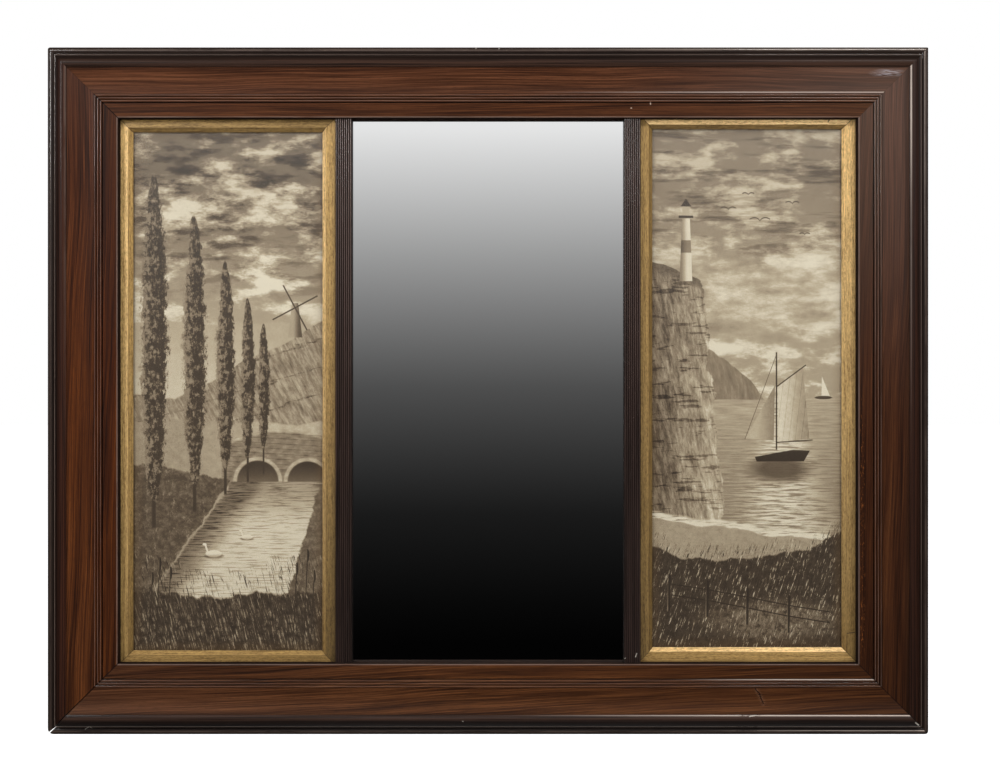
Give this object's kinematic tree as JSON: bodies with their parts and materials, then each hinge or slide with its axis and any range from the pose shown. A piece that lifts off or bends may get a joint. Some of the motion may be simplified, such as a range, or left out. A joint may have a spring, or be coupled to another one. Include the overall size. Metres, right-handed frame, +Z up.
{
  "type": "overmantel mirror",
  "caption": "Rectangular overmantel mirror with glazed print panels in gilt slips beside the plate, reeded division bars, a wide moulded rosewood frame and hanging rings behind.",
  "frame": {"origin": "middle of the bottom edge, on the line where the frame's bottom meets the plane of its back", "axes": "+X to the right along the shelf as seen from the front, +Y towards the wall, +Z up"},
  "size_m": [1.05, 0.0439, 0.819],
  "materials": {
    "carcass_pine": "old pine, planed and darkened",
    "ebonised_wood": "ebonised and polished, rubbed at the arrises",
    "rosewood_veneer": "polished rosewood veneer, straight grain",
    "rosewood_reeded": "polished rosewood, reeded and banded",
    "ebonised_bar": "dark stained and polished reeds",
    "silvered_glass": "plain plate, silvered at the back",
    "block_pine": "sawn pine",
    "board_pine": "planed pine boards, darkened",
    "iron": "dull rusted iron wire",
    "gilt": "worn gilding on oak",
    "clear_glass": "thin picture glass",
    "left_printed_paper": "sepia toned print",
    "right_printed_paper": "sepia toned print",
    "pasteboard": "grey brown board",
    "key_wood": "hardwood key, planed flush",
    "brass": "aged brass",
    "screw_brass": "aged brass"
  },
  "bodies": {
    "frame": {"carcass_top_rail": "carcass_pine", "carcass_bottom_rail": "carcass_pine", "carcass_left_stile": "carcass_pine", "carcass_right_stile": "carcass_pine", "edge_moulding_top": "ebonised_wood", "hollow_moulding_top": "rosewood_veneer", "sight_moulding_top": "rosewood_reeded", "edge_moulding_bottom": "ebonised_wood", "hollow_moulding_bottom": "rosewood_veneer", "sight_moulding_bottom": "rosewood_reeded", "edge_moulding_left": "ebonised_wood", "hollow_moulding_left": "rosewood_veneer", "sight_moulding_left": "rosewood_reeded", "edge_moulding_right": "ebonised_wood", "hollow_moulding_right": "rosewood_veneer", "sight_moulding_right": "rosewood_reeded", "left_division_bar": "ebonised_bar", "right_division_bar": "ebonised_bar", "mirror_plate": "silvered_glass", "mirror_wedge_blocks": "block_pine", "mirror_board_left": "board_pine", "mirror_board_right": "board_pine", "mirror_brads": "iron", "left_slip_top": "gilt", "left_slip_bottom": "gilt", "left_slip_outer": "gilt", "left_slip_inner": "gilt", "left_glass": "clear_glass", "left_print": "left_printed_paper", "left_card": "pasteboard", "left_backboard": "board_pine", "left_brads": "iron", "right_slip_top": "gilt", "right_slip_bottom": "gilt", "right_slip_outer": "gilt", "right_slip_inner": "gilt", "right_glass": "clear_glass", "right_print": "right_printed_paper", "right_card": "pasteboard", "right_backboard": "board_pine", "right_brads": "iron", "mitre_key_top_left": "key_wood", "mitre_key_top_right": "key_wood", "mitre_key_bottom_left": "key_wood", "mitre_key_bottom_right": "key_wood", "left_hanger_plate": "brass", "left_hanger_screws": "screw_brass", "right_hanger_plate": "brass", "right_hanger_screws": "screw_brass"},
    "left_ring": {"left_hanger_ring": "brass"},
    "right_ring": {"right_hanger_ring": "brass"}
  },
  "joints": [
    {"name": "left_ring_swing", "type": "hinge", "parent": "frame", "child": "left_ring", "pos_m": [-0.4875, 0.00288, 0.623], "axis": [1, 0, 0], "range_deg": [0, 172]},
    {"name": "right_ring_swing", "type": "hinge", "parent": "frame", "child": "right_ring", "pos_m": [0.4875, 0.00288, 0.623], "axis": [1, 0, 0], "range_deg": [0, 172]}
  ]
}
